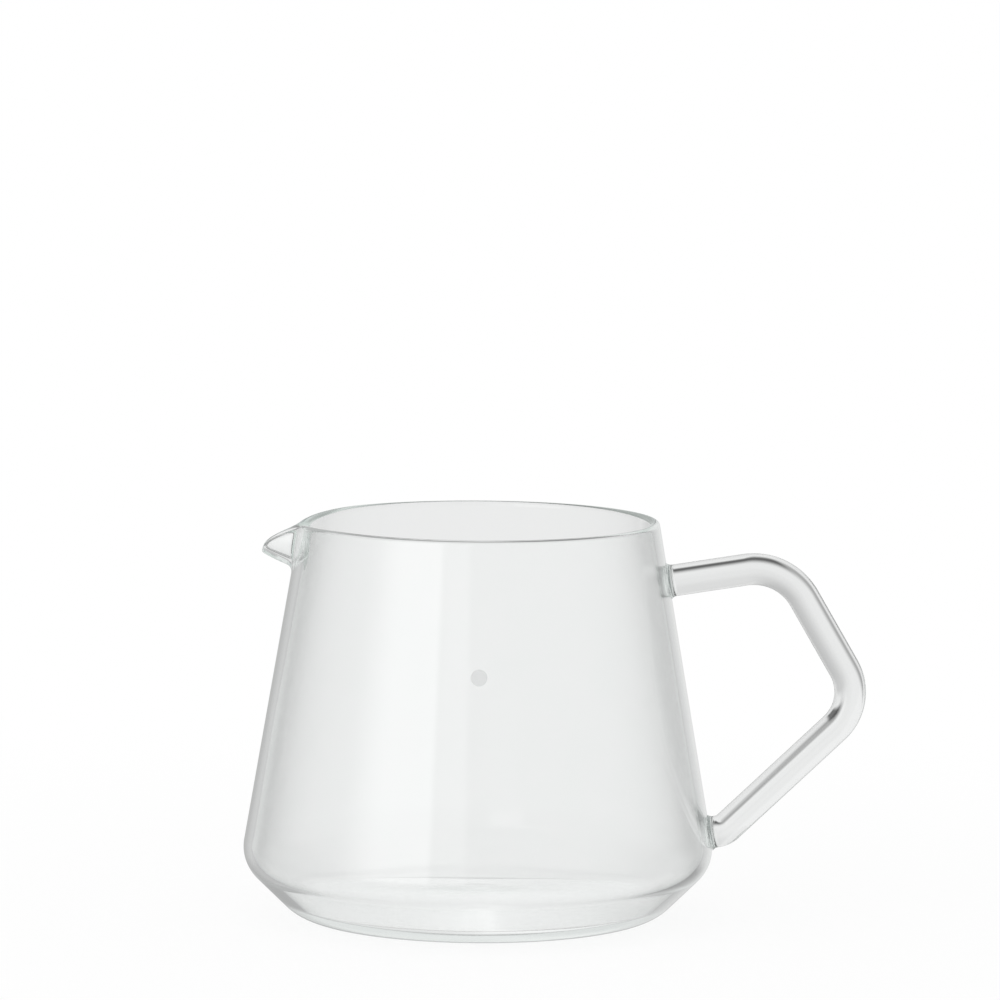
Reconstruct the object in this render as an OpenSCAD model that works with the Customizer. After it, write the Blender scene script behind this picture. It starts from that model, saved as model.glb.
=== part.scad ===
// Glass coffee server: a blown body with a pulled spout, and a bent glass rod for a handle.
// The body's axis is Z and the table is z = 0. The handle points along +X, the spout along -X.

/* [Body] */
// Outside diameter of the wall, carried up to the rim
rim_d = 72.8; // [68:0.1:80]
// Height of the rim above the table
rim_z = 81.1; // [76:0.1:92]
// Outside diameter at the belly, where wall and heel would meet in a sharp corner
belly_d = 96.7; // [92:0.1:104]
// Height of the belly's corner above the table
belly_z = 11.4; // [10:0.1:13]
// Radius that rounds the belly outside
belly_r = 7.85; // [5:0.05:9]
// Outside diameter at the foot, where heel and table would meet in a sharp corner
foot_d = 73.5; // [70:0.1:78]
// Radius that rounds the foot outside
foot_r = 9.7; // [7:0.1:11]
// Thickness of the wall
wall_t = 1.8; // [1.4:0.1:2.2]
// Thickness of the floor
floor_t = 2.4; // [1.8:0.1:3]
// Diameter of the hollow under the floor
hollow_d = 45; // [34:0.5:50]
// Depth of the hollow under the floor
hollow_h = 1.2; // [0.6:0.1:1.8]

/* [Spout] */
// How far the spout's channel is pulled out of the wall
spout_pull = 11; // [8:0.1:12]
// Half the width of the channel at half its length
spout_half_w = 1.7; // [1.4:0.05:2.4]
// How far the spout's edge drops below the rim at its tip
spout_drop = 4.7; // [3.5:0.1:6]
// How far the rim dips beside the spout
shoulder_dip = 0.6; // [0:0.1:1]
// Depth below the rim at which the pull begins
spout_depth = 11.5; // [10.5:0.1:13]
// Radius at which the wall turns out into the channel's floor
spout_bend_r = 4; // [3:0.1:6]
// Slope of the channel's floor, rising away from the body
spout_slope = 20; // [15:1:35]
// Thickness of the glass at the spout's tip
tip_t = 1.35; // [1.1:0.05:1.6]
// Half the angle round the rim that the pulling has moved
spout_sweep = 45; // [35:1:55]

/* [Handle] */
// Diameter of the rod
rod_d = 6.45; // [5.5:0.05:7.5]
// Distance below the rim at which the rod's upper end meets the wall
upper_drop = 12.2; // [9:0.1:18]
// Slope of the upper run, rising away from the body
upper_slope = 9; // [4:0.5:14]
// Distance of the upper corner from the body's axis
knee_x = 61.9; // [58:0.1:68]
// Slope of the grip, falling away from the body
grip_slope = 59.9; // [54:0.1:68]
// Distance of the lower corner from the body's axis
elbow_x = 78.2; // [74:0.1:82]
// Height at which the rod's lower end meets the wall
lower_z = 17.3; // [16:0.1:24]
// Length of the straight end that stands square on the lower weld
stub_l = 0.4; // [0.2:0.1:2]
// Bend radius of the rod's middle line at the upper corner
knee_r = 11.8; // [8:0.1:13]
// Bend radius of the rod's middle line at the lower corner
elbow_r = 10.1; // [7:0.1:12]
// Bend radius of the rod's middle line where it turns to the wall
turn_r = 4; // [3.8:0.1:5]

/* [Welds] */
// Height of each weld on the wall, up to the rod's end face
weld_h = 1.2; // [0.8:0.1:1.6]
// How far each weld spreads over the wall beyond the rod
weld_spread = 0.55; // [0.3:0.05:0.8]

/* [Level dot] */
// Diameter of the dot
dot_d = 3.3; // [2:0.1:5]
// Height of the dot above the table
dot_z = 54.4; // [45:0.1:62]
// Thickness of the enamel
dot_t = 0.12; // [0.08:0.01:0.3]

/* [Hidden] */
glass = [0.86, 0.92, 0.9, 0.45];
enamel = [0.72, 0.72, 0.73];
$fn = 96;
fine_fn = 720;
// How far a cutting shape reaches past what it cuts
overrun = 4;

// Outline of the body, as points of radius and height
foot = [foot_d / 2, 0];
belly = [belly_d / 2, belly_z];
rim = [rim_d / 2, rim_z];
heel_way = unit(belly - foot);
wall_way = unit(rim - belly);
heel_out = [heel_way.y, -heel_way.x];
wall_out = [wall_way.y, -wall_way.x];
inner_belly = crossing(belly - wall_out * wall_t, wall_way, belly - heel_out * wall_t, heel_way);
inner_foot = crossing([0, floor_t], [1, 0], belly - heel_out * wall_t, heel_way);
// The rim is melted round: its middle lies half a wall below the rim's height
lip = crossing(belly - wall_out * wall_t / 2, wall_way, [0, rim_z - wall_t / 2], [1, 0]);
lip_outer = lip + wall_out * wall_t / 2;
lip_inner = lip - wall_out * wall_t / 2;
// Radius of the dome under the floor
dome_r = (pow(hollow_d / 2, 2) + pow(hollow_h, 2)) / (2 * hollow_h);

function unit(v) = v / norm(v);
// Where the line through a along u meets the line through b along v
function crossing(a, u, b, v) = a + u * cross(b - a, v) / cross(u, v);
// Angle between the two sides of the corner q, from p and to s
function corner(p, q, s) = acos(unit(p - q) * unit(s - q));
// Middle and ends of the arc of radius r that rounds the corner q
function arc_middle(p, q, s, r) = q + unit(unit(p - q) + unit(s - q)) * r / sin(corner(p, q, s) / 2);
function arc_start(p, q, s, r) = q + unit(p - q) * r / tan(corner(p, q, s) / 2);
function arc_end(p, q, s, r) = arc_start(s, q, p, r);

// Half section of the space under a rounded foot and belly, up to the points at its top
module rounded_section(bottom, low, wide, top, low_r, wide_r) {
    polygon(concat(
        [bottom, arc_start(bottom, low, wide, low_r), arc_end(bottom, low, wide, low_r)],
        [arc_start(low, wide, top[0], wide_r), arc_end(low, wide, top[0], wide_r)],
        top));
    translate(arc_middle(bottom, low, wide, low_r)) circle(r = low_r);
    translate(arc_middle(low, wide, top[0], wide_r)) circle(r = wide_r);
}

module dome(r) {
    translate([0, hollow_h - dome_r]) circle(r = r, $fn = fine_fn);
}

module outer_section() {
    difference() {
        rounded_section([0, 0], foot, belly, [lip_outer, lip_inner, [0, lip_inner.y]], foot_r, belly_r);
        dome(dome_r);
    }
}

module inner_section() {
    above = lip_inner + wall_way * overrun;
    difference() {
        rounded_section([0, floor_t], inner_foot, inner_belly, [above, [0, above.y]],
            foot_r - wall_t, belly_r - wall_t);
        dome(dome_r + floor_t);
    }
}

module wall_section() {
    difference() {
        outer_section();
        inner_section();
    }
    translate(lip) circle(d = wall_t);
}

// The spout is a patch of the wall near the rim, between two upright planes through the axis.
// Its inner face is the wall's, pulled out round the spout's middle, and its outer face lies the
// glass's thickness outside that one. Round its window the patch runs on inside the wall, where it
// stays a hair under both faces.
hair_share = 0.03;
hair = wall_t * hair_share;
// The pull begins at spout_start_z, the window's sill lies below that, and the patch's foot lower still
spout_start_z = rim_z - spout_depth;
window_z = spout_start_z - wall_t;
patch_z = window_z - wall_t;
// Angle by which the patch runs on past each side of its window
side_lap = 1;
patch_sweep = spout_sweep + side_lap;
columns = 40;
rows = 16;
lip_steps = 4;
// Share of the columns' spread that is even; the rest crowds them in the middle
even_share = 0.45;
// How far off the two points lie that give the patch's direction at the point between them
probe_angle = 0.01;
probe_share = 0.001;
probe_length = wall_t * probe_share;

function inner_r(z) = crossing(inner_belly + wall_out * hair, wall_way, [0, z], [1, 0]).x;
function column_angle(i) = let (share = 2 * i / columns - 1)
    patch_sweep * (even_share * share + (1 - even_share) * pow(share, 3));
// One in the middle of the patch and nothing at its sides
function patch_share(angle) = abs(angle) < spout_sweep ? pow(1 - pow(angle / spout_sweep, 2), 2) : 0;
// One in the middle of the channel, and half of that at its half width
function channel_share(angle) = patch_share(angle)
    / pow(1 + (sqrt(2) - 1) * pow(angle * PI / 180 * rim.x / spout_half_w, 2), 2);
// How far the channel's middle lies outside the wall: round the bend, up the floor's slope, and no
// further than its full length
bend_rise = spout_bend_r * cos(spout_slope);
function floor_reach(rise) = rise < bend_rise ? spout_bend_r - sqrt(pow(spout_bend_r, 2) - pow(rise, 2))
    : spout_bend_r * (1 - sin(spout_slope)) + (rise - bend_rise) / tan(spout_slope);
function limited_share(share) = share / pow(1 + pow(share, 4), 1 / 4);
function pulled_share(angle, z) = channel_share(angle)
    * limited_share(floor_reach(max(z - spout_start_z, 0)) / spout_pull);
function edge_z(angle) = lip_inner.y + hair * wall_out.y - shoulder_dip * patch_share(angle)
    - (spout_drop - shoulder_dip) * channel_share(angle);
function inner_point(angle, z) = let (r = inner_r(z) + spout_pull * pulled_share(angle, z))
    [-r * cos(angle), r * sin(angle), z];
function upward(angle, z) = unit(inner_point(angle, z + probe_length) - inner_point(angle, z - probe_length));
function outward(angle, z) = unit(cross(upward(angle, z),
    inner_point(angle + probe_angle, z) - inner_point(angle - probe_angle, z)));
function glass_t(angle, z) = wall_t - 2 * hair - (wall_t - tip_t) * pulled_share(angle, z);
// The outer face starts lower by this, so that both faces end level at the patch's foot
foot_shift = wall_t * wall_out.y;
function inner_z(angle, row) = patch_z + (edge_z(angle) - patch_z) * row / rows;
function outer_point(angle, row) = let (z = inner_z(angle, row) - foot_shift * (1 - row / rows))
    inner_point(angle, z) + outward(angle, z) * glass_t(angle, z);
// Points of the melted edge, from the outer face over to the inner one
function edge_point(angle, step) =
    let (z = edge_z(angle), r = glass_t(angle, z) / 2, turned = 180 * step / lip_steps)
    inner_point(angle, z) + outward(angle, z) * r * (1 + cos(turned)) + upward(angle, z) * r * sin(turned);
function column_points(angle) = concat(
    [for (row = [0:rows]) outer_point(angle, row)],
    [for (step = [1:lip_steps - 1]) edge_point(angle, step)],
    [for (row = [rows:-1:0]) inner_point(angle, inner_z(angle, row))]);
around = 2 * (rows + 1) + lip_steps - 1;

module spout() {
    polyhedron(
        points = [for (i = [0:columns]) each column_points(column_angle(i))],
        faces = concat(
            [for (i = [0:columns - 1], j = [0:around - 1])
                [i * around + j, (i + 1) * around + j,
                    (i + 1) * around + (j + 1) % around, i * around + (j + 1) % around]],
            [[for (j = [0:around - 1]) j]],
            [[for (j = [around - 1:-1:0]) columns * around + j]]));
}

// What the patch takes the place of
module spout_window() {
    far = belly.x + overrun;
    translate([0, 0, window_z]) linear_extrude(rim_z)
        polygon([[0, 0], [-far, -far * tan(spout_sweep)], [-far, far * tan(spout_sweep)]]);
}

module glass_body() {
    color(glass) union() {
        difference() {
            rotate_extrude() wall_section();
            spout_window();
        }
        spout();
    }
}

// The rod's middle line, as points of distance from the axis and height
upper_way = [cos(upper_slope), sin(upper_slope)];
grip_way = [cos(grip_slope), -sin(grip_slope)];
function outer_wall_at(z) = crossing(belly, wall_way, [0, z], [1, 0]);
upper_seat = outer_wall_at(rim_z - upper_drop);
lower_seat = outer_wall_at(lower_z);
knee = crossing(upper_seat, upper_way, [knee_x, 0], [0, 1]);
elbow = crossing(knee, grip_way, [elbow_x, 0], [0, 1]);
// The rod's end faces, at the tops of the welds
upper_end = upper_seat + upper_way * weld_h;
lower_end = lower_seat + wall_out * weld_h;
// The lower run leaves the elbow so that it touches the arc that bends the rod square to the wall
turn_middle = lower_end + wall_out * stub_l + wall_way * turn_r;
to_turn = turn_middle - elbow;
lower_angle = atan2(to_turn.y, to_turn.x) + asin(turn_r / norm(to_turn));
lower_way = [cos(lower_angle), sin(lower_angle)];
turn = crossing(lower_seat, wall_out, elbow, lower_way);
// The middle line's corners, the radius that bends each, and how far the rod turns there
route = [upper_end, knee, elbow, turn, lower_end];
bend_radii = [0, knee_r, elbow_r, turn_r, 0];
last = len(route) - 1;
function bend_angle(i) = i > 0 && i < last ? 180 - corner(route[i - 1], route[i], route[i + 1]) : 0;
function bend_reach(i) = bend_radii[i] * tan(bend_angle(i) / 2);
// A bend is a little thinner than the rod, and runs on a short way inside the straight runs it joins
thinner_share = 0.016;
hold_share = 0.05;
bend_d = rod_d * (1 - thinner_share);
bend_hold = rod_d * hold_share;
function hold_angle(r) = bend_hold / r * 180 / PI;
function run_length(i) = norm(route[i + 1] - route[i]) - bend_reach(i) - bend_reach(i + 1);

// Lays what stands on +Z at the origin along the line from a to b, in the plane of spout and handle
module along(a, b) {
    translate([a.x, 0, a.y]) rotate([0, atan2(b.x - a.x, b.y - a.y), 0]) children();
}

// The rod from the straight run i on, standing on +Z at the origin, with every bend towards +X
module rod_from(i) {
    cylinder(h = run_length(i), d = rod_d);
    if (i + 1 < last) {
        r = bend_radii[i + 1];
        translate([r, 0, run_length(i)]) {
            rotate([90, 0, 180]) rotate([0, 0, -hold_angle(r)])
                rotate_extrude(angle = bend_angle(i + 1) + 2 * hold_angle(r))
                    translate([r, 0]) circle(d = bend_d);
            rotate([0, bend_angle(i + 1), 0]) translate([-r, 0, 0]) rod_from(i + 1);
        }
    }
}

module handle_rod() {
    color(glass) union() along(route[0], route[1]) rod_from(0);
}

// A weld, from the wall up to the rod's end face. The hollow round its side starts in line with the
// rod's side, and reaches the wall at the weld's foot.
weld_foot_r = rod_d / 2 + weld_spread;
hollow_r = (pow(weld_spread, 2) + pow(weld_h, 2)) / (2 * weld_spread);
module weld(seat, way) {
    difference() {
        along(seat, seat + way) difference() {
            translate([0, 0, -weld_foot_r]) cylinder(h = weld_foot_r + weld_h, r = weld_foot_r);
            rotate_extrude() translate([rod_d / 2 + hollow_r, weld_h]) circle(r = hollow_r);
        }
        rotate_extrude($fn = fine_fn) outer_section();
    }
}

module upper_weld() {
    color(glass) weld(upper_seat, upper_way);
}

module lower_weld() {
    color(glass) weld(lower_seat, wall_out);
}

// The dot, as a patch of a thin skin over the wall
module level_dot() {
    seat = outer_wall_at(dot_z);
    color(enamel) intersection() {
        rotate_extrude($fn = fine_fn) polygon([
            for (z = [dot_z - dot_d, dot_z + dot_d]) outer_wall_at(z),
            for (z = [dot_z + dot_d, dot_z - dot_d]) outer_wall_at(z) + wall_out * dot_t]);
        translate([0, overrun - seat.x, dot_z]) rotate([90, 0, 0]) cylinder(h = 2 * overrun, d = dot_d);
    }
}

glass_body();
handle_rod();
upper_weld();
lower_weld();
level_dot();
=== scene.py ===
"""A clear glass coffee server on a pale table: blown body, pulled spout, bent rod, welds and level dot."""
import math

import bpy
from bpy.props import FloatProperty, FloatVectorProperty, PointerProperty
from mathutils import Matrix, Vector


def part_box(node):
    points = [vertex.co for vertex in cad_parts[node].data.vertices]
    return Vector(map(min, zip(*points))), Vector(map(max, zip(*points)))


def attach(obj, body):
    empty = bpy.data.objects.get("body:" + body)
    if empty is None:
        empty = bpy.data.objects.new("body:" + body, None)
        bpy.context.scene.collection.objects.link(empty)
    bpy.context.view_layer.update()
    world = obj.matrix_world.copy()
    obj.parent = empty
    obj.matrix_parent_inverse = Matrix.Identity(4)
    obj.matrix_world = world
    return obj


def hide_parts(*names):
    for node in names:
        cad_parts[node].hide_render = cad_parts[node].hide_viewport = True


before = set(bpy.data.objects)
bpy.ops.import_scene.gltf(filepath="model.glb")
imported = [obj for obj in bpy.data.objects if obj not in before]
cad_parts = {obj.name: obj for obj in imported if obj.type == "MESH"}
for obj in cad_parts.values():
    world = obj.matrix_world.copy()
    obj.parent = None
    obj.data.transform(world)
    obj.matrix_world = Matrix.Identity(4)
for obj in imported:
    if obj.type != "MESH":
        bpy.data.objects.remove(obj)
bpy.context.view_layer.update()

bl_info = {
    "name": "Glass Coffee Server",
    "version": (1, 0, 0),
    "blender": (4, 5, 0),
    "location": "View3D > Sidebar > Server",
    "description": "Builds a blown glass coffee server with a bent rod handle, piece by piece",
    "category": "Add Mesh",
}

MM = 0.001
BODY = "root"
SHARP_ANGLE = math.radians(40)
WHITE = (1, 1, 1, 1)


def length(name, description, millimetres):
    """A size that a user would change, given in millimetres and kept in metres."""
    return FloatProperty(name=name, description=description, default=millimetres * MM, unit="LENGTH",
                         precision=5)


def angle(name, description, degrees):
    """An angle that a user would change, given in degrees and kept in radians."""
    return FloatProperty(name=name, description=description, default=math.radians(degrees),
                         unit="ROTATION")


def tint(name, description, rgb):
    """A colour that a user would change."""
    return FloatVectorProperty(name=name, description=description, default=rgb, subtype="COLOR", size=3)


class ServerBody(bpy.types.PropertyGroup):
    """Sizes of the blown body. Its height comes from the frame."""
    rim_d: length("Rim", "Outside diameter of the wall, carried up to the rim", 72.8)
    belly_d: length("Belly", "Outside diameter where wall and heel would meet in a sharp corner", 96.7)
    belly_z: length("Belly height", "Height of the belly's corner above the table", 11.4)
    belly_r: length("Belly rounding", "Radius that rounds the belly outside", 7.85)
    foot_d: length("Foot", "Outside diameter where heel and table would meet in a sharp corner", 73.5)
    foot_r: length("Foot rounding", "Radius that rounds the foot outside", 9.7)
    wall_t: length("Wall", "Thickness of the wall", 1.8)
    floor_t: length("Floor", "Thickness of the floor", 2.4)
    hollow_d: length("Hollow", "Diameter of the hollow under the floor", 45)
    hollow_h: length("Hollow depth", "Depth of the hollow under the floor", 1.2)
    hollow_fade: length("Hollow edge", "How far the hollow's edge is drawn out by the fire", 3)
    ripple_h: length("Ripple", "How far blowing has left the inner face uneven", 0.05)


class ServerSpout(bpy.types.PropertyGroup):
    """Sizes of the spout that is pulled out of the wall."""
    pull: length("Pull", "How far the channel is pulled out of the wall", 11)
    half_w: length("Half width", "Distance from the channel's middle where it is pulled half as far", 1.7)
    drop: length("Drop", "How far the spout's edge drops below the rim at its tip", 4.7)
    shoulder_dip: length("Shoulder dip", "How far the rim dips beside the spout", 0.6)
    depth: length("Depth", "Depth below the rim at which the pull begins", 11.5)
    bend_r: length("Bend", "Radius at which the wall turns out into the channel's floor", 4)
    slope: angle("Slope", "Slope of the channel's floor, rising away from the body", 20)
    tip_t: length("Tip", "Thickness of the glass at the spout's tip", 1.35)
    sweep: angle("Sweep", "Half the angle round the rim that the pulling has moved", 45)


class ServerRod(bpy.types.PropertyGroup):
    """Sizes of the bent rod and of the welds at its ends."""
    rod_d: length("Rod", "Diameter of the rod", 6.45)
    upper_drop: length("Upper joint", "Distance of the upper joint below the rim", 12.2)
    upper_slope: angle("Upper slope", "Slope of the upper run, rising away from the body", 9)
    knee_x: length("Upper corner", "Distance of the upper corner from the body's axis", 61.9)
    grip_slope: angle("Grip slope", "Slope of the grip, falling away from the body", 59.9)
    elbow_x: length("Lower corner", "Distance of the lower corner from the body's axis", 78.2)
    lower_z: length("Lower joint", "Height of the lower joint on the wall", 17.3)
    stub_l: length("Stub", "Length of the straight end that stands square on the lower weld", 0.4)
    knee_r: length("Upper bend", "Bend radius of the rod's middle line at the upper corner", 11.8)
    elbow_r: length("Lower bend", "Bend radius of the rod's middle line at the lower corner", 10.1)
    turn_r: length("End bend", "Bend radius where the rod turns to the wall", 4)
    weld_h: length("Weld height", "Height of each weld on the wall", 1.2)
    weld_spread: length("Weld spread", "How far each weld spreads over the wall beyond the rod", 0.55)


class ServerDot(bpy.types.PropertyGroup):
    """Size, place and colour of the enamel level dot."""
    dot_d: length("Dot", "Diameter of the dot", 3.3)
    dot_z: length("Dot height", "Height of the dot above the table", 54.4)
    dot_t: length("Enamel", "Thickness of the fired enamel, half of which stands out of the wall", 0.12)
    enamel: tint("Enamel colour", "Colour of the fired enamel", (0.33, 0.34, 0.35))


class ServerGlass(bpy.types.PropertyGroup):
    """How the glass bends and swallows light."""
    ior: FloatProperty(name="IOR", description="Index of refraction of borosilicate glass", default=1.473)
    kept: tint("Light kept", "Colour that the absorbed light leaves", (0.10, 0.26, 0.23))
    body_density: FloatProperty(name="Body density", default=7.0,
                                description="Absorption per metre of blown glass")
    rod_density: FloatProperty(name="Rod density", default=4.0,
                               description="Absorption per metre of drawn glass")
    fused: length("Overlap", "How far fused pieces run into each other", 0.03)


class ServerStudio(bpy.types.PropertyGroup):
    """The pale table and the camera."""
    eye_distance: length("Eye distance", "Distance of the camera from the point it was fitted to", 1430.9)
    eye_elevation: angle("Eye elevation", "Height of the camera over that point", 8.131)
    eye_aim_z: length("Eye aim", "Height of that point on the body's axis", 41.05)
    lens: FloatProperty(name="Lens", description="Focal length", default=252.9,
                        subtype="DISTANCE_CAMERA")
    aim_right: angle("Aim right", "Angle by which the camera looks past the axis", 0.1618)
    aim_up: angle("Aim up", "Angle by which the camera looks over the point", 1.7584)
    roll: angle("Roll", "Tilt of the picture", 0.424)
    floor_r: length("Table", "Radius of the pale table", 900)


GROUPS = {"server_body": ServerBody, "server_spout": ServerSpout, "server_rod": ServerRod,
          "server_dot": ServerDot, "server_glass": ServerGlass, "server_studio": ServerStudio}


# Plane geometry. A section's points are Vectors of distance from the axis and height.

def crossing(a, u, b, v):
    """Where the line through a along u meets the line through b along v."""
    return a + u * ((b - a).cross(v) / u.cross(v))


def rounded(points, radii, steps):
    """The line through the points, with an arc of the given radius at each corner that has one."""
    path = [points[0].copy()]
    for before, corner, after, radius in zip(points, points[1:], points[2:], radii[1:-1]):
        if not radius:
            path.append(corner.copy())
            continue
        back, on = (before - corner).normalized(), (after - corner).normalized()
        half = back.angle(on) / 2
        middle = corner + (back + on).normalized() * radius / math.sin(half)
        start = corner + back * radius / math.tan(half)
        turn = math.pi - 2 * half
        side = math.copysign(1, (-back).cross(on))
        for step in range(steps + 1):
            a = side * turn * step / steps
            arm = start - middle
            path.append(middle + Vector((arm.x * math.cos(a) - arm.y * math.sin(a),
                                         arm.x * math.sin(a) + arm.y * math.cos(a))))
    return path + [points[-1].copy()]


def turns(count):
    """Angles that share out a full turn evenly."""
    return [2 * math.pi * k / count for k in range(count)]


def spun(r, a, z):
    """A point of the body, at an angle that counts from the middle of the spout."""
    return Vector((-r * math.cos(a), r * math.sin(a), z))


class Section:
    """The body's half section, worked out from its sizes, and the spout that is pulled out of it."""
    WALL_ROWS = 30
    SPOUT_ROWS = 34
    LIP_STEPS = 12
    ARC_STEPS = 14
    FLOOR_ROWS = 20
    # Small steps, in radians and metres, over which the wall's directions are measured
    PROBE_ANGLE = 1e-4
    PROBE_LENGTH = 2e-6
    # How far the wall's first row stands above the basin, and the spout's first row below the pull
    BASIN_GAP = 0.5 * MM
    PULL_GAP = 1 * MM
    # The ripple's waves: how many go round the body, radians per metre up it, phase and share of height
    WAVES = ((3, 41, 0.3, 0.9), (5, 67, 1.9, 0.7), (9, 83, 4.1, 0.4), (14, 59, 2.2, 0.25))
    # The lengths over which the ripple fades out below the rim and above the basin
    RIM_FADE = 6 * MM
    BASIN_FADE = 8 * MM

    def __init__(self, body, spout):
        self.body, self.spout = body, spout
        self.rim_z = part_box("glass_body")[1].z
        self.foot = Vector((body.foot_d / 2, 0))
        self.belly = Vector((body.belly_d / 2, body.belly_z))
        self.rim = Vector((body.rim_d / 2, self.rim_z))
        self.wall_way = (self.rim - self.belly).normalized()
        self.heel_way = (self.belly - self.foot).normalized()
        self.wall_out = Vector((self.wall_way.y, -self.wall_way.x))
        self.heel_out = Vector((self.heel_way.y, -self.heel_way.x))
        t = body.wall_t
        flat = Vector((1, 0))
        inner_heel = self.belly - self.heel_out * t
        self.inner_belly = crossing(self.belly - self.wall_out * t, self.wall_way,
                                    inner_heel, self.heel_way)
        self.inner_foot = crossing(Vector((0, body.floor_t)), flat, inner_heel, self.heel_way)
        self.lip = crossing(self.belly - self.wall_out * t / 2, self.wall_way,
                            Vector((0, self.rim_z - t / 2)), flat)
        self.lip_inner = self.lip - self.wall_out * t / 2
        self.spout_start_z = self.rim_z - spout.depth
        self.bend_rise = spout.bend_r * math.cos(spout.slope)
        self.hollow_r = body.hollow_d / 2 + body.hollow_fade

    def outer_wall_at(self, z):
        return crossing(self.belly, self.wall_way, Vector((0, z)), Vector((1, 0)))

    def inner_r(self, z):
        return crossing(self.inner_belly, self.wall_way, Vector((0, z)), Vector((1, 0))).x

    def hollow(self, r):
        """Height of the hollow under the floor, which fades out softly at its edge."""
        return self.body.hollow_h * math.cos(math.pi / 2 * min(r / self.hollow_r, 1)) ** 2

    def patch_share(self, a):
        """One in the middle of the spout, nothing outside its sweep."""
        return (1 - (a / self.spout.sweep) ** 2) ** 2 if abs(a) < self.spout.sweep else 0.0

    def channel_share(self, a):
        """One in the middle of the channel and half at its half width."""
        offset = a * self.rim.x / self.spout.half_w
        return self.patch_share(a) / (1 + (math.sqrt(2) - 1) * offset ** 2) ** 2

    def floor_reach(self, rise):
        """How far the channel's floor has come out of the wall at a height above the start of the pull."""
        r, slope = self.spout.bend_r, self.spout.slope
        if rise < self.bend_rise:
            return r - math.sqrt(r * r - rise * rise)
        return r * (1 - math.sin(slope)) + (rise - self.bend_rise) / math.tan(slope)

    def pulled_share(self, a, z):
        """Share of the pull at a point of the wall, which eases into the full pull."""
        way = self.floor_reach(max(z - self.spout_start_z, 0)) / self.spout.pull
        return self.channel_share(a) * way / (1 + way ** 4) ** 0.25

    def edge_z(self, a):
        """Height of the wall's edge under the melted lip."""
        dip, drop = self.spout.shoulder_dip, self.spout.drop
        return self.lip_inner.y - dip * self.patch_share(a) - (drop - dip) * self.channel_share(a)

    def ripple(self, a, z):
        """Blowing leaves the inner face a little uneven, in slow waves round it and slower ones up it."""
        total = sum(h * math.sin(n * a + k * z + p + math.sin(0.5 * k * z + n))
                    for n, k, p, h in self.WAVES)
        return self.body.ripple_h * total / sum(h for *_, h in self.WAVES)

    def inner_point(self, a, z):
        return spun(self.inner_r(z) + self.spout.pull * self.pulled_share(a, z), a, z)

    def upward(self, a, z):
        above, below = (self.inner_point(a, z + d) for d in (self.PROBE_LENGTH, -self.PROBE_LENGTH))
        return (above - below).normalized()

    def outward(self, a, z):
        around = self.inner_point(a + self.PROBE_ANGLE, z) - self.inner_point(a - self.PROBE_ANGLE, z)
        return self.upward(a, z).cross(around).normalized()

    def glass_t(self, a, z):
        return self.body.wall_t - (self.body.wall_t - self.spout.tip_t) * self.pulled_share(a, z)

    def uneven(self, a, z):
        """The inner face's point, moved by the ripple, which fades out at rim and basin."""
        below_rim = max(0.0, min(1.0, (self.edge_z(a) - z) / self.RIM_FADE))
        above_basin = max(0.0, min(1.0, (z - self.inner_belly.y) / self.BASIN_FADE))
        return self.inner_point(a, z) - self.outward(a, z) * self.ripple(a, z) * (below_rim * above_basin)

    def lip_edge(self, a, top):
        """The melted edge, from the outer face over to the inner one."""
        foot, out, up = self.inner_point(a, top), self.outward(a, top), self.upward(a, top)
        half = self.glass_t(a, top) / 2
        bends = (math.pi * step / self.LIP_STEPS for step in range(1, self.LIP_STEPS))
        return [foot + out * half * (1 + math.cos(bend)) + up * half * math.sin(bend) for bend in bends]

    def column(self, a):
        """The points from the middle of the underside round over the rim to the middle of the floor."""
        body, t = self.body, self.body.wall_t
        under = [Vector((self.hollow_r * k / self.FLOOR_ROWS, 0)) for k in range(1, self.FLOOR_ROWS + 1)]
        outside = rounded([under[-1], self.foot, self.belly, self.rim], [0, body.foot_r, body.belly_r, 0],
                          self.ARC_STEPS)
        inside = rounded([Vector((0, body.floor_t)), self.inner_foot, self.inner_belly, self.lip_inner],
                         [0, body.foot_r - t, body.belly_r - t, 0], self.ARC_STEPS)
        for p in under:
            p.y = self.hollow(p.x)
        low = inside[-2].y + self.BASIN_GAP
        mid, top = self.spout_start_z - self.PULL_GAP, self.edge_z(a)
        heights = [low + (mid - low) * k / self.WALL_ROWS for k in range(self.WALL_ROWS)]
        heights += [mid + (top - mid) * k / self.SPOUT_ROWS for k in range(self.SPOUT_ROWS + 1)]
        base = [spun(p.x, a, p.y) for p in under + outside[1:-1]]
        wall = [self.inner_point(a, z) + self.outward(a, z) * self.glass_t(a, z) for z in heights]
        back = [self.uneven(a, z) for z in reversed(heights)]
        basin = [spun(p.x, a, p.y) for p in reversed(inside[1:-1])]
        floor = [spun(p.x, a, body.floor_t + self.hollow(p.x)) for p in reversed(under)]
        return base + wall + self.lip_edge(a, top) + back + basin + floor


def ring_faces(count, n):
    """Faces between each of count rings and the next, where every ring has n points."""
    return [(i * n + j, (i + 1) * n + j, (i + 1) * n + (j + 1) % n, i * n + (j + 1) % n)
            for i in range(count - 1) for j in range(n)]


def sleeve(rings):
    """Joins equal rings one after the other, with a fan at each end. The rings' points come first, then
    the middle of the first end and that of the last."""
    count, n = len(rings), len(rings[0])
    points = [p for ring in rings for p in ring]
    faces = ring_faces(count, n)
    for ring, flip in ((0, False), (count - 1, True)):
        points.append(sum((Vector(p) for p in rings[ring]), Vector()) / n)
        hub = len(points) - 1
        for j in range(n):
            a, b = ring * n + j, ring * n + (j + 1) % n
            faces.append((hub, b, a) if flip else (hub, a, b))
    return points, faces


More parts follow.
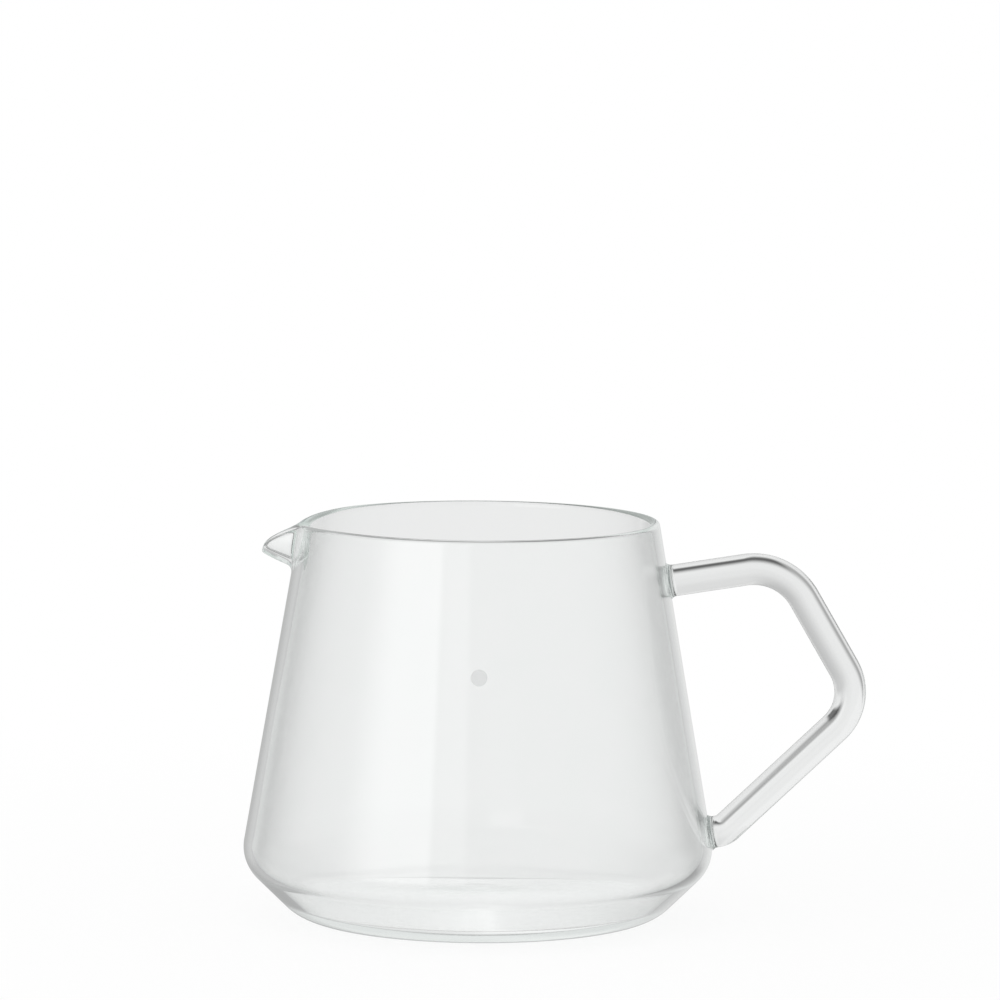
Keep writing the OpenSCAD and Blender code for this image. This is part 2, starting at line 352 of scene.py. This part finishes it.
def new_object(name, points, faces):
    """A mesh object in the scene, with its mesh."""
    mesh = bpy.data.meshes.new(name)
    mesh.from_pydata([tuple(p) for p in points], [], faces)
    made = bpy.data.objects.new(name, mesh)
    bpy.context.scene.collection.objects.link(made)
    return made, mesh


def new_piece(name, points, faces, material, node):
    """A smooth closed mesh that rides on the body and stands for its node."""
    piece, mesh = new_object(name, points, faces)
    mesh.validate()
    mesh.shade_smooth()
    mesh.set_sharp_from_angle(angle=SHARP_ANGLE)
    mesh.materials.append(material)
    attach(piece, BODY)
    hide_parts(node)


class Wire:
    """One output of a shader tree, with the arithmetic that the materials are written in."""

    def __init__(self, tree, socket):
        self.tree, self.socket = tree, socket

    def math(self, operation, *others):
        return self.tree.node("ShaderNodeMath", {"operation": operation},
                              {0: self, **dict(enumerate(others, 1))})

    def __add__(self, other):
        return self.math("ADD", other)

    def __sub__(self, other):
        return self.math("SUBTRACT", other)

    def __mul__(self, other):
        return self.math("MULTIPLY", other)

    def __rsub__(self, other):
        return self.tree.node("ShaderNodeMath", {"operation": "SUBTRACT"}, {0: other, 1: self})

    __radd__ = __add__
    __rmul__ = __mul__

    def clipped(self):
        return self.tree.node("ShaderNodeClamp", {}, {"Value": self})

    def smooth(self, start, full):
        """Nothing up to start, one from full on, and an even passage between, either way."""
        return self.tree.node("ShaderNodeMapRange", {"interpolation_type": "SMOOTHSTEP"},
                              {"Value": self, "From Min": start, "From Max": full})

    def band(self, start, full, *fading):
        """As smooth, and with two more numbers it fades out again from the first to the second."""
        share = self.smooth(start, full)
        return share * self.smooth(*reversed(fading)) if fading else share

    def choose(self, inside, outside):
        """The first value where this one is one, and the second where it is nothing."""
        return self * inside + (1 - self) * outside


class Tree:
    """A shader tree that starts empty."""

    def __init__(self, owner):
        owner.use_nodes = True
        self.tree = owner.node_tree
        self.tree.nodes.clear()

    def node(self, kind, settings, inputs, output=0):
        """Adds a node, sets its settings, then its sockets' values or links, and gives one output."""
        made = self.tree.nodes.new(kind)
        for name, value in settings.items():
            setattr(made, name, value)
        for name, value in inputs.items():
            if isinstance(value, Wire):
                self.tree.links.new(value.socket, made.inputs[name])
            else:
                made.inputs[name].default_value = value
        return Wire(self, made.outputs[output]) if made.outputs else None

    def mixed(self, factor, first, second):
        return self.node("ShaderNodeMixShader", {}, {0: factor, 1: first, 2: second})

    def blended(self, factor, first, second):
        """A colour between two, in their order."""
        return self.node("ShaderNodeMix", {"data_type": "RGBA"}, {"Factor": factor, 6: first, 7: second}, 2)

    def light_path(self, output):
        return self.node("ShaderNodeLightPath", {}, {}, output)

    def one_thickness(self):
        """One for light that has crossed two faces of glass at most, as it does in a single wall or rod."""
        return self.light_path("Transmission Depth").math("LESS_THAN", 2.5)

    def unmirrored(self):
        """One for light that no face has mirrored on its way."""
        return self.light_path("Glossy Depth").math("LESS_THAN", 0.5)

    def led_along(self):
        """One for light that the glass has mirrored to and fro inside it, three times or more."""
        return self.light_path("Glossy Depth").math("GREATER_THAN", 2.5)


class GlassFinish:
    """Clear drawn or blown glass: slow ripples from the fire, a faint green body colour, a light shadow."""
    RIPPLE_DETAIL = 1.0
    RIPPLE_STRENGTH = 0.06
    RIPPLE_HEIGHT = 0.4 * MM
    # Smudges are finer than the ripples and take a little of the light
    SMUDGE_FINENESS = 3
    SMUDGE_DETAIL = 3.0
    SMUDGED = (0.985, 0.995, 0.99, 1)
    SHADOW_TINT = (0.93, 0.95, 0.94, 1)
    SHADOW_CLEARNESS = 0.85

    def material(self, name, glass, density, ripple_scale):
        material = bpy.data.materials.new(name)
        tree = Tree(material)
        where = tree.node("ShaderNodeTexCoord", {}, {}, "Object")
        ripple = tree.node("ShaderNodeTexNoise", {},
                           {"Vector": where, "Scale": ripple_scale, "Detail": self.RIPPLE_DETAIL})
        bump = tree.node("ShaderNodeBump", {}, {"Height": ripple, "Strength": self.RIPPLE_STRENGTH,
                                                "Distance": self.RIPPLE_HEIGHT})
        smudge = tree.node("ShaderNodeTexNoise", {},
                           {"Vector": where, "Scale": ripple_scale * self.SMUDGE_FINENESS,
                            "Detail": self.SMUDGE_DETAIL})
        clear = tree.node("ShaderNodeBsdfPrincipled", {},
                          {"Base Color": tree.blended(smudge, self.SMUDGED, WHITE), "Roughness": 0.0,
                           "IOR": glass.ior, "Transmission Weight": 1.0, "Normal": bump})
        passing = tree.node("ShaderNodeBsdfTransparent", {}, {"Color": self.SHADOW_TINT})
        soft = (tree.light_path("Is Shadow Ray") + tree.light_path("Is Diffuse Ray")).clipped()
        # Light that the glass leads along for long is let out, or the limit on bounces turns it black
        through = (soft * self.SHADOW_CLEARNESS).math("MAXIMUM", tree.led_along())
        depth = tree.node("ShaderNodeVolumeAbsorption", {}, {"Color": (*glass.kept, 1), "Density": density})
        tree.node("ShaderNodeOutputMaterial", {},
                  {"Surface": tree.mixed(through, clear, passing), "Volume": depth})
        return material


class EnamelFinish:
    """Grey enamel, fired on thinly, so that it lets some light through and is a little uneven."""
    GRAIN_SCALE = 2500.0
    GRAIN_DETAIL = 4.0
    GRAIN_STRENGTH = 0.2
    GRAIN_HEIGHT = 0.05 * MM
    DARK_SHARE = 0.8
    # Roughness and cover, each between its least value and that plus its range
    ROUGHNESS, ROUGHNESS_RANGE = 0.35, 0.2
    COVER, COVER_RANGE = 0.07, 0.06

    def material(self, name, enamel):
        material = bpy.data.materials.new(name)
        tree = Tree(material)
        where = tree.node("ShaderNodeTexCoord", {}, {}, "Object")
        grain = tree.node("ShaderNodeTexNoise", {},
                          {"Vector": where, "Scale": self.GRAIN_SCALE, "Detail": self.GRAIN_DETAIL})
        dark = (*(self.DARK_SHARE * c for c in enamel), 1)
        bump = tree.node("ShaderNodeBump", {}, {"Height": grain, "Strength": self.GRAIN_STRENGTH,
                                                "Distance": self.GRAIN_HEIGHT})
        paint = tree.node("ShaderNodeBsdfPrincipled", {},
                          {"Base Color": tree.blended(grain, dark, (*enamel, 1)),
                           "Roughness": self.ROUGHNESS + grain * self.ROUGHNESS_RANGE,
                           "Alpha": self.COVER + grain * self.COVER_RANGE, "Normal": bump})
        tree.node("ShaderNodeOutputMaterial", {}, {"Surface": paint})
        return material


class SERVER_OT_body(bpy.types.Operator):
    """Blow the body with its foot, belly, wall, melted rim and pulled spout"""
    bl_idname = "server.body"
    bl_label = "Glass body"
    SPOUT_COLUMNS = 96
    REST_COLUMNS = 168
    # How much of the spout's spacing is even: the less, the closer its columns crowd in the middle
    EVEN_SHARE = 0.3
    RIPPLE_SCALE = 45

    def angles(self, sweep):
        """Angles from the spout's middle, crowded there and even over the rest of the body."""
        half = [2 * i / self.SPOUT_COLUMNS - 1 for i in range(self.SPOUT_COLUMNS)]
        near = [sweep * (self.EVEN_SHARE * s + (1 - self.EVEN_SHARE) * s ** 3) for s in half]
        rest = 2 * (math.pi - sweep)
        return near + [sweep + rest * i / self.REST_COLUMNS for i in range(self.REST_COLUMNS)]

    def execute(self, context):
        scene = context.scene
        glass = scene.server_glass
        section = Section(scene.server_body, scene.server_spout)
        columns = [section.column(a) for a in self.angles(scene.server_spout.sweep)]
        points, faces = sleeve([list(ring) for ring in zip(*columns)])
        points[-2].z = section.hollow(0)
        points[-1].z = section.body.floor_t + section.hollow(0)
        material = GlassFinish().material("body_glass", glass, glass.body_density, self.RIPPLE_SCALE)
        new_piece("blown_body", points, faces, material, "glass_body")
        return {"FINISHED"}


class RodLine:
    """The rod's middle line, in the upright plane of spout and handle."""
    STEPS = 20

    def __init__(self, rod, section):
        def way(a):
            return Vector((math.cos(a), math.sin(a)))
        self.upper_seat = section.outer_wall_at(section.rim_z - rod.upper_drop)
        self.lower_seat = section.outer_wall_at(rod.lower_z)
        self.upper_way, self.lower_way = way(rod.upper_slope), section.wall_out
        upright = Vector((0, 1))
        knee = crossing(self.upper_seat, self.upper_way, Vector((rod.knee_x, 0)), upright)
        elbow = crossing(knee, way(-rod.grip_slope), Vector((rod.elbow_x, 0)), upright)
        upper_end = self.upper_seat + self.upper_way * rod.weld_h
        lower_end = self.lower_seat + section.wall_out * rod.weld_h
        middle = lower_end + section.wall_out * rod.stub_l + section.wall_way * rod.turn_r
        to_turn = middle - elbow
        run = way(math.atan2(to_turn.y, to_turn.x) + math.asin(rod.turn_r / to_turn.length))
        turn = crossing(self.lower_seat, section.wall_out, elbow, run)
        self.path = rounded([upper_end, knee, elbow, turn, lower_end],
                            [0, rod.knee_r, rod.elbow_r, rod.turn_r, 0], self.STEPS)

    def run_on(self, fused):
        """Lengthens both ends, so that they run into the welds."""
        path = self.path
        path[0] = path[0] - (path[1] - path[0]).normalized() * fused
        path[-1] = path[-1] - (path[-2] - path[-1]).normalized() * fused


def beside(centre, across, radius, a):
    """A point round a line that lies in the plane of spout and handle."""
    p = centre + across * radius * math.cos(a)
    return Vector((p.x, radius * math.sin(a), p.y))


class SERVER_OT_rod(bpy.types.Operator):
    """Bend the glass rod of the handle"""
    bl_idname = "server.rod"
    bl_label = "Handle rod"
    SIDES = 64
    RIPPLE_SCALE = 90

    def execute(self, context):
        scene = context.scene
        glass, radius = scene.server_glass, scene.server_rod.rod_d / 2
        line = RodLine(scene.server_rod, Section(scene.server_body, scene.server_spout))
        line.run_on(glass.fused)
        rings = []
        for before, p, after in zip(line.path[:1] + line.path, line.path, line.path[1:] + line.path[-1:]):
            way = (after - before).normalized()
            across = Vector((-way.y, way.x))
            rings.append([beside(p, across, radius, a) for a in turns(self.SIDES)])
        points, faces = sleeve(rings)
        material = GlassFinish().material("rod_glass", glass, glass.rod_density, self.RIPPLE_SCALE)
        new_piece("bent_rod", points, faces, material, "handle_rod")
        return {"FINISHED"}


class SERVER_OT_welds(bpy.types.Operator):
    """Melt the two welds that join rod and wall"""
    bl_idname = "server.welds"
    bl_label = "Welds"
    SIDES = 64
    STEPS = 12
    RIPPLE_SCALE = 200
    # The weld's top is a little slimmer than the rod, and its foot has rings at these shares of that radius
    SLIM_SHARE = 0.997
    FOOT_SHARES = (0.35, 0.7, 1)
    # How often the foot is moved along the weld's axis until it lies on the round wall
    SEATING_ROUNDS = 8

    def weld(self, section, rod, seat, way, fused):
        """Rings from the foot on the wall up to the rod's end face, round the rod's end direction."""
        r, h, spread = rod.rod_d / 2 * self.SLIM_SHARE, rod.weld_h, rod.weld_spread
        hollow = (spread ** 2 + h ** 2) / (2 * spread)
        across = Vector((-way.y, way.x))

        def at(radius, a, height):
            return beside(seat + way * height, across, radius, a)

        def wall_height(radius, a):
            """Height along the weld's axis at which the body's outer face lies, less the overlap."""
            height = 0.0
            for _ in range(self.SEATING_ROUNDS):
                p = at(radius, a, height)
                height += section.outer_wall_at(p.z).x - fused - math.hypot(p.x, p.y)
            return height

        around = turns(self.SIDES)
        rings = [[at(radius, a, wall_height(radius, a)) for a in around]
                 for radius in (share * r for share in self.FOOT_SHARES)]
        for step in range(self.STEPS + 1):
            lift = h * step / self.STEPS
            radius = r + hollow - math.sqrt(hollow ** 2 - (h - lift) ** 2)
            ring = []
            for a in around:
                low = wall_height(radius, a)
                ring.append(at(radius, a, low + (h - low) * step / self.STEPS))
            rings.append(ring)
        return sleeve(rings)

    def execute(self, context):
        scene = context.scene
        glass, rod = scene.server_glass, scene.server_rod
        section = Section(scene.server_body, scene.server_spout)
        line = RodLine(rod, section)
        material = GlassFinish().material("weld_glass", glass, glass.rod_density, self.RIPPLE_SCALE)
        ends = {"upper": (line.upper_seat, line.upper_way), "lower": (line.lower_seat, line.lower_way)}
        for name, (seat, way) in ends.items():
            points, faces = self.weld(section, rod, seat, way, glass.fused)
            new_piece(name + "_melt", points, faces, material, name + "_weld")
        return {"FINISHED"}


class SERVER_OT_dot(bpy.types.Operator):
    """Fire the plain grey level dot on the wall"""
    bl_idname = "server.dot"
    bl_label = "Level dot"
    SIDES = 48
    RINGS = 6
    # How deep the dot reaches into the wall, so that no gap shows under it
    SUNK = 0.02 * MM

    def execute(self, context):
        scene = context.scene
        dot = scene.server_dot
        section = Section(scene.server_body, scene.server_spout)
        seat = section.outer_wall_at(dot.dot_z)
        out = section.wall_out
        radius, face = dot.dot_d / 2, dot.dot_t / 2

        def on_wall(reach, a, lift):
            x, up = reach * math.cos(a), reach * math.sin(a)
            r = seat.x - up * out.y / out.x + lift
            turn = x / seat.x
            return Vector((r * math.sin(turn), -r * math.cos(turn), dot.dot_z + up))

        profile = [(radius * k / self.RINGS, -self.SUNK) for k in range(1, self.RINGS + 1)]
        profile += [(radius * k / self.RINGS, face) for k in range(self.RINGS, 0, -1)]
        rings = [[on_wall(reach, a, lift) for a in turns(self.SIDES)] for reach, lift in profile]
        points, faces = sleeve(rings)
        points[-2] = on_wall(0, 0, -self.SUNK)
        points[-1] = on_wall(0, 0, face)
        material = EnamelFinish().material("dot_enamel", dot.enamel)
        new_piece("enamel_dot", points, faces, material, "level_dot")
        return {"FINISHED"}


class Backdrop:
    """How bright the studio is in each direction: white behind the server, and in front of it a dim room
    with a soft box on the left. Directions are in degrees: behind counts from straight behind the server
    to the right, before from straight before it to the left, aside from straight behind to either side,
    and rise from the table's level up."""
    # The heights that the soft box and the grey screen beside it fill
    TALL = (-22, -8, 35, 60)
    # Levels of the room and its parts, of what the glass mirrors once or leads along inside it, of what it
    # lets pass through one thickness or more, and of what lights the table
    ROOM, TABLE, SCREEN, SOFT_BOX = 0.1, 0.25, 0.45, 1.25
    MIRRORED_ONCE, LED_ALONG = 0.52, 0.9
    PASSED_ONCE, PASSED_TWICE = 0.885, 0.985
    DIFFUSE = 0.9
    # The dark line's height straight behind the server, how far it climbs to the right and narrows there,
    # and how it bends up to the left with the square of the angle. Edges are distances from a stroke's
    # middle at which it is gone and at which it is full.
    LINE_RISE, LINE_CLIMB, LINE_NARROWING, LINE_BEND = -36, 18, 0.5, 0.0157
    LINE_EDGE = (17, 1)
    LINE_SHARE, LINE_MIDDLE_SHARE = 0.52, 0.34
    # The dark comma's height straight behind the server, and how it falls to the right
    COMMA_RISE, COMMA_FALL = -9, 0.5
    COMMA_EDGE = (9, 3)
    COMMA_SHARE = 0.8

    def __init__(self, tree):
        self.tree = tree
        way = tree.node("ShaderNodeTexCoord", {}, {}, "Generated")
        x, y, z = (tree.node("ShaderNodeSeparateXYZ", {}, {0: way}, axis) for axis in "XYZ")
        self.behind = x.math("ARCTAN2", y) * math.degrees(1)
        self.before = (0 - x).math("ARCTAN2", 0 - y) * math.degrees(1)
        self.aside = self.behind.math("ABSOLUTE")
        self.rise = z.math("ARCSINE") * math.degrees(1)

    def zone(self, amount, **bands):
        """The amount inside the bands of the directions named, fading out at their edges."""
        for direction, band in bands.items():
            amount = getattr(self, direction).band(*band) * amount
        return amount

    def dimmed(self, level, *shares):
        """What is left of a level after each share has been taken from it."""
        for share in shares:
            level = (1 - share) * level
        return level

    def room(self):
        """The dim room, with the screen before the server and the table's pale light from below."""
        return (self.ROOM + self.zone(self.SCREEN, before=(4, 8, 22, 26), rise=self.TALL)
                + self.zone(self.TABLE, rise=(-8, -25)))

    def mirrored_outside(self, room):
        """What light meets that the first thickness mirrors: the soft box, and an uneven backdrop."""
        right = self.zone(0.25, behind=(-5, 12))
        left = self.zone(0.13, behind=(-15, -27))
        foot = self.zone(0.4, rise=(-28, -38), aside=(30, 12))
        far_right = self.zone(0.2, behind=(12, 34))
        low = self.zone(0.1, rise=(-10, -20))
        low_right = self.zone(0.14, rise=(-10, -20), behind=(5, 20))
        low_middle = self.zone(0.2, rise=(-12, -17, -26, -34), aside=(10, 4))
        paler = right + left + foot
        darker = far_right + low + low_right + low_middle
        over_room = (self.MIRRORED_ONCE + paler - darker - room).math("MAXIMUM", 0.0)
        soft_box = self.zone(self.SOFT_BOX, before=(22, 26, 48, 78), rise=self.TALL)
        return room + soft_box + self.zone(over_room, aside=(46, 30))

    def mirrored_inside(self, room):
        """What light meets that is mirrored after it has crossed more than one thickness."""
        backdrop = room + self.zone(1 - room, aside=(44, 12))
        right = self.zone(0.3, behind=(8, 16, 26, 36))
        middle = self.zone(0.14, rise=(-2, -7), aside=(14, 6))
        return self.dimmed(backdrop, right, middle)

    def led_along(self):
        """What light meets that the glass has led along: mostly what stands behind the server."""
        front = self.zone(0.5, aside=(85, 125))
        left = self.zone(0.42, behind=(-30, -45), rise=(-62, -48))
        low_right = self.zone(0.36, behind=(42, 60, 76, 92), rise=(-20, -35))
        return self.dimmed(self.LED_ALONG, front, left, low_right)

    def dark_line(self):
        """The bent line that runs through the rod and round the rim."""
        left = self.behind.math("MINIMUM", 0.0)
        course = self.LINE_RISE + self.zone(self.LINE_CLIMB, behind=(3, 17)) + left * left * self.LINE_BEND
        off = (self.rise - course).math("ABSOLUTE") * (1 + self.zone(self.LINE_NARROWING, behind=(6, 14)))
        share = self.LINE_SHARE + self.zone(self.LINE_MIDDLE_SHARE, aside=(14, 7))
        return off.smooth(*self.LINE_EDGE) * self.zone(share, behind=(30, 21), aside=(48, 38))

    def dark_comma(self):
        """The short stroke that the rod's lower bend shows on its inside."""
        off = (self.rise + self.behind * self.COMMA_FALL - self.COMMA_RISE).math("ABSOLUTE")
        return off.smooth(*self.COMMA_EDGE) * self.zone(self.COMMA_SHARE, behind=(14, 23, 38, 48))

    def passed_once(self):
        """What is seen through one thickness: rod and rim turn darker parts of the studio into view."""
        side = self.zone(0.27, behind=(-6, 26, 38, 60), rise=(-12, -4))
        top = self.zone(0.12, rise=(-4, 16), behind=(-14, -5))
        flank = self.zone(0.5, aside=(143, 151, 159, 167))
        low = self.zone(0.6, aside=(66, 84), rise=(-34, -41, -46, -52))
        return self.dimmed(self.PASSED_ONCE, self.dark_line(), self.dark_comma(), side, top, flank, low)

    def passed_twice(self):
        """What is seen through both walls. Heel and floor turn its low parts into view."""
        high = self.zone(0.4, rise=(45, 75))
        low = self.zone(0.07, rise=(-10, -20))
        lower = self.zone(0.6, rise=(-24, -38, -42, -50))
        lower_right = self.zone(0.3, behind=(2, 6), rise=(-26, -32))
        right = self.zone(0.05, behind=(3, 9))
        return self.dimmed(self.PASSED_TWICE, high, low, lower, lower_right, right)

    def level(self):
        """The level for each kind of light. The camera itself sees plain white."""
        tree, one, room = self.tree, self.tree.one_thickness(), self.room()
        passed = one.choose(self.passed_once(), self.passed_twice())
        mirrored = one.choose(self.mirrored_outside(room), self.mirrored_inside(room))
        mirrored = tree.led_along().choose(self.led_along(), mirrored)
        straight = tree.light_path("Is Transmission Ray") * tree.unmirrored()
        level = tree.light_path("Is Diffuse Ray").choose(self.DIFFUSE, straight.choose(passed, mirrored))
        return tree.light_path("Is Camera Ray").choose(1.0, level)


class SERVER_OT_stage(bpy.types.Operator):
    """Set the pale table, the soft light and the camera"""
    bl_idname = "server.stage"
    bl_label = "Table, card, light and camera"
    TABLE_RINGS, TABLE_SIDES = 12, 96
    TABLE_DROP = 0.01 * MM
    TABLE_COLOUR = (0.92, 0.92, 0.92, 1)
    # The camera sees the table mixed with plain white: by this share up to the first of these distances
    # from the server's axis, and wholly from the second on
    NEAR_WHITE = 0.88
    FADE_START, FADE_END = 80 * MM, 300 * MM
    # The card's distance behind the axis, and its corners to the right and up, in millimetres
    CARD_Y = 48
    CARD_CORNERS = ((-50, 0.5), (34, 0.5), (38, 60), (38, 84), (-50, 84))
    # The camera's sensor in millimetres, and how far it sees in metres
    SENSOR_WIDTH = 36
    VIEW_LIMIT = 100

    def table(self, studio):
        """A round table that turns white away from the server and keeps its soft shadow."""
        rings = []
        for k in range(1, self.TABLE_RINGS + 1):
            r = studio.floor_r * k / self.TABLE_RINGS
            rings.append([Vector((r * math.cos(a), r * math.sin(a), 0)) for a in turns(self.TABLE_SIDES)])
        points = [p for ring in rings for p in ring] + [Vector((0, 0, 0))]
        faces = ring_faces(self.TABLE_RINGS, self.TABLE_SIDES)
        hub, n = len(points) - 1, self.TABLE_SIDES
        faces += [(hub, j, (j + 1) % n) for j in range(n)]
        table, mesh = new_object("pale_table", points, faces)
        table.location.z = -self.TABLE_DROP
        table.visible_transmission = False
        table.visible_glossy = False
        material = bpy.data.materials.new("pale_table")
        tree = Tree(material)
        where = tree.node("ShaderNodeTexCoord", {}, {}, "Object")
        away = tree.node("ShaderNodeVectorMath", {"operation": "LENGTH"}, {0: where}, "Value")
        share = self.NEAR_WHITE + away.smooth(self.FADE_START, self.FADE_END) * (1 - self.NEAR_WHITE)
        paper = tree.node("ShaderNodeBsdfDiffuse", {}, {"Color": self.TABLE_COLOUR})
        white = tree.node("ShaderNodeEmission", {}, {"Color": WHITE, "Strength": 1.0})
        surface = tree.mixed(tree.light_path("Is Camera Ray") * share, paper, white)
        tree.node("ShaderNodeOutputMaterial", {}, {"Surface": surface})
        mesh.materials.append(material)

    def card(self):
        """A pale card close behind the body, so that rim and back wall turn no dark part of the studio into
        view. Only light that has gone straight through one thickness of glass meets it."""
        corners = [(x * MM, self.CARD_Y * MM, z * MM) for x, z in self.CARD_CORNERS]
        card, mesh = new_object("pale_card", corners, [range(len(corners))])
        card.visible_camera = False
        card.visible_diffuse = False
        card.visible_glossy = False
        card.visible_shadow = False
        material = bpy.data.materials.new("pale_card")
        tree = Tree(material)
        clear = tree.node("ShaderNodeBsdfTransparent", {}, {})
        pale = tree.node("ShaderNodeEmission", {}, {"Strength": Backdrop.PASSED_ONCE})
        surface = tree.mixed(tree.one_thickness() * tree.unmirrored(), clear, pale)
        tree.node("ShaderNodeOutputMaterial", {}, {"Surface": surface})
        mesh.materials.append(material)

    def world(self, scene):
        """The studio round the server."""
        scene.world = bpy.data.worlds.new("studio")
        tree = Tree(scene.world)
        light = tree.node("ShaderNodeBackground", {}, {"Color": WHITE, "Strength": Backdrop(tree).level()})
        tree.node("ShaderNodeOutputWorld", {}, {"Surface": light})

    def lamp(self, name, azimuth, elevation, distance, size, radiance):
        """A soft box that faces the server. Azimuth counts from the camera's side, towards the handle."""
        light = bpy.data.lights.new(name, "AREA")
        light.shape = "RECTANGLE"
        light.size, light.size_y = size
        light.energy = radiance * math.pi * size[0] * size[1]
        lamp = bpy.data.objects.new(name, light)
        a, e = math.radians(azimuth), math.radians(elevation)
        way = Vector((math.sin(a) * math.cos(e), -math.cos(a) * math.cos(e), math.sin(e)))
        lamp.location = way * distance
        lamp.rotation_euler = way.to_track_quat("Z", "Y").to_euler()
        lamp.visible_camera = False
        lamp.visible_transmission = False
        lamp.visible_glossy = False
        bpy.context.scene.collection.objects.link(lamp)

    def camera(self, scene, studio):
        """The camera, as it was fitted to the photo."""
        e, down = studio.eye_elevation, studio.eye_elevation - studio.aim_up
        place = Vector((0, -studio.eye_distance * math.cos(e),
                        studio.eye_aim_z + studio.eye_distance * math.sin(e)))
        ahead = Vector((math.sin(studio.aim_right) * math.cos(down),
                        math.cos(studio.aim_right) * math.cos(down), -math.sin(down)))
        data = bpy.data.cameras.new("camera")
        data.lens = studio.lens
        data.sensor_width = self.SENSOR_WIDTH
        data.clip_end = self.VIEW_LIMIT
        camera = bpy.data.objects.new("camera", data)
        turn = ahead.to_track_quat("-Z", "Y").to_matrix() @ Matrix.Rotation(studio.roll, 3, "Z")
        camera.matrix_world = Matrix.Translation(place) @ turn.to_4x4()
        scene.collection.objects.link(camera)
        scene.camera = camera

    def execute(self, context):
        scene = context.scene
        studio = scene.server_studio
        self.camera(scene, studio)
        self.table(studio)
        self.card()
        self.world(scene)
        self.lamp("left_soft_box", azimuth=-52, elevation=34, distance=1.2, size=(1.0, 0.9), radiance=1.15)
        scene.view_settings.view_transform = "Standard"
        return {"FINISHED"}


class SERVER_PT_panel(bpy.types.Panel):
    """Lists the server's pieces and their sizes"""
    bl_idname = "SERVER_PT_panel"
    bl_label = "Coffee server"
    bl_space_type = "VIEW_3D"
    bl_region_type = "UI"
    bl_category = "Server"

    def draw(self, context):
        for operator in OPERATORS:
            self.layout.operator(operator.bl_idname)
        for name, group in GROUPS.items():
            box = self.layout.box()
            box.label(text=group.__doc__)
            for key in group.__annotations__:
                box.prop(getattr(context.scene, name), key)


OPERATORS = (SERVER_OT_body, SERVER_OT_rod, SERVER_OT_welds, SERVER_OT_dot, SERVER_OT_stage)
CLASSES = (*GROUPS.values(), *OPERATORS, SERVER_PT_panel)


def register():
    for cls in CLASSES:
        bpy.utils.register_class(cls)
    for name, group in GROUPS.items():
        setattr(bpy.types.Scene, name, PointerProperty(type=group))


def unregister():
    for name in GROUPS:
        delattr(bpy.types.Scene, name)
    for cls in reversed(CLASSES):
        bpy.utils.unregister_class(cls)


def main():
    register()
    for make in (bpy.ops.server.body, bpy.ops.server.rod, bpy.ops.server.welds, bpy.ops.server.dot,
                 bpy.ops.server.stage):
        make()


if __name__ == "__main__":
    main()
